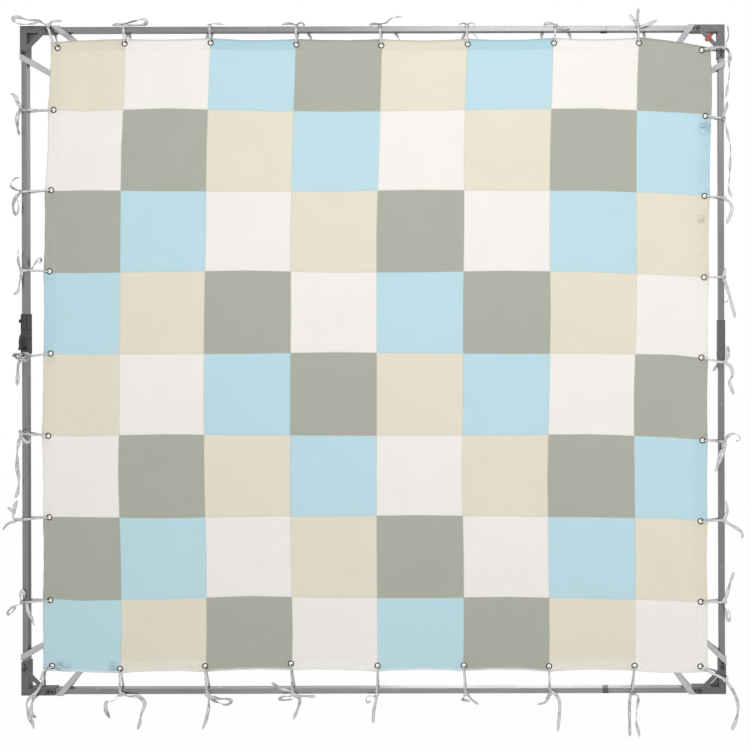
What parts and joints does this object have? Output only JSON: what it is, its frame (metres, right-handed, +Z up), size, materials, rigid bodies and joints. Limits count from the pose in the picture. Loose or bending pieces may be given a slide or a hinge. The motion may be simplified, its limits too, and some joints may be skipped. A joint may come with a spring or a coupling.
{
  "type": "laced bounce cloth frame",
  "caption": "Checkered patchwork bounce cloth with eyelets, laced by cotton tape ties and corner straps into an upright knock-down frame of square tube with elbows and clamp couplers.",
  "frame": {"origin": "middle of the rear face of the top rail, where the frame is hung or clamped", "axes": "+X to the right seen from the front, +Y to the rear, +Z up"},
  "size_m": [2.5586, 0.049, 2.5177],
  "materials": {
    "tube": "satin grey",
    "corner_metal": "dark grey satin",
    "coupler": "black moulded",
    "coupler_grey": "dark grey moulded",
    "lever": "black moulded",
    "pin": "turned steel",
    "lock": "red moulded",
    "cloth": "woven cotton patchwork, beige, white, sky blue and grey-green",
    "tape": "flat cotton tape",
    "webbing": "flat grey webbing"
  },
  "bodies": {
    "frame": {"elbow_top_left": "corner_metal", "brace_top_left": "corner_metal", "elbow_top_right": "corner_metal", "brace_top_right": "corner_metal", "elbow_bottom_left": "corner_metal", "brace_bottom_left": "corner_metal", "elbow_bottom_right": "corner_metal", "brace_bottom_right": "corner_metal", "top_rail_long": "tube", "top_rail_short": "tube", "bottom_rail_long": "tube", "bottom_rail_short": "tube", "left_tube_upper": "tube", "left_tube_lower": "tube", "left_coupler": "coupler", "right_tube_upper": "tube", "right_tube_lower": "tube", "right_coupler": "coupler_grey", "cloth": "cloth", "tie_top_1": "tape", "tie_top_2": "tape", "tie_top_3": "tape", "tie_top_4": "tape", "tie_top_5": "tape", "tie_top_6": "tape", "tie_top_7": "tape", "tie_bottom_1": "tape", "tie_bottom_2": "tape", "tie_bottom_3": "tape", "tie_bottom_4": "tape", "tie_bottom_5": "tape", "tie_bottom_6": "tape", "tie_bottom_7": "tape", "tie_left_1": "tape", "tie_left_2": "tape", "tie_left_3": "tape", "tie_left_4": "tape", "tie_left_5": "tape", "tie_left_6": "tape", "tie_left_7": "tape", "tie_right_1": "tape", "tie_right_2": "tape", "tie_right_3": "tape", "tie_right_4": "tape", "tie_right_5": "tape", "tie_right_6": "tape", "tie_right_7": "tape", "tie_corner_top_left": "tape", "tie_corner_top_right": "tape", "tie_corner_bottom_left": "tape", "tie_corner_bottom_right": "tape", "corner_strap_top_left": "webbing", "corner_strap_top_right": "webbing", "corner_strap_bottom_left": "webbing", "corner_strap_bottom_right": "webbing"},
    "left_clamp_lever": {"left_clamp_lever": "lever"},
    "right_clamp_lever": {"right_clamp_lever": "lever"},
    "left_pull_pin": {"left_pull_pin": "pin"},
    "right_pull_pin": {"right_pull_pin": "pin"},
    "lock_lever": {"lock_lever": "lock"}
  },
  "joints": [
    {"name": "left_clamp_hinge", "type": "hinge", "parent": "frame", "child": "left_clamp_lever", "pos_m": [-1.2244, -0.00953, -1.10518], "axis": [0, -1, 0], "range_deg": [0, 90]},
    {"name": "right_clamp_hinge", "type": "hinge", "parent": "frame", "child": "right_clamp_lever", "pos_m": [1.20718, 0.0077, -1.13118], "axis": [-1, 0, 0], "range_deg": [0, 90]},
    {"name": "left_pin_slide", "type": "slide", "parent": "frame", "child": "left_pull_pin", "axis": [-1, 0, 0], "range_m": [0, 0.006], "stiffness_N_per_m": 400, "springref_m": -0.003},
    {"name": "right_pin_slide", "type": "slide", "parent": "frame", "child": "right_pull_pin", "axis": [0, 1, 0], "range_m": [0, 0.006], "stiffness_N_per_m": 400, "springref_m": -0.003},
    {"name": "lock_lever_hinge", "type": "hinge", "parent": "frame", "child": "lock_lever", "pos_m": [1.16239, -0.02765, -0.03519], "axis": [0, -1, 0], "range_deg": [0, 75]}
  ]
}
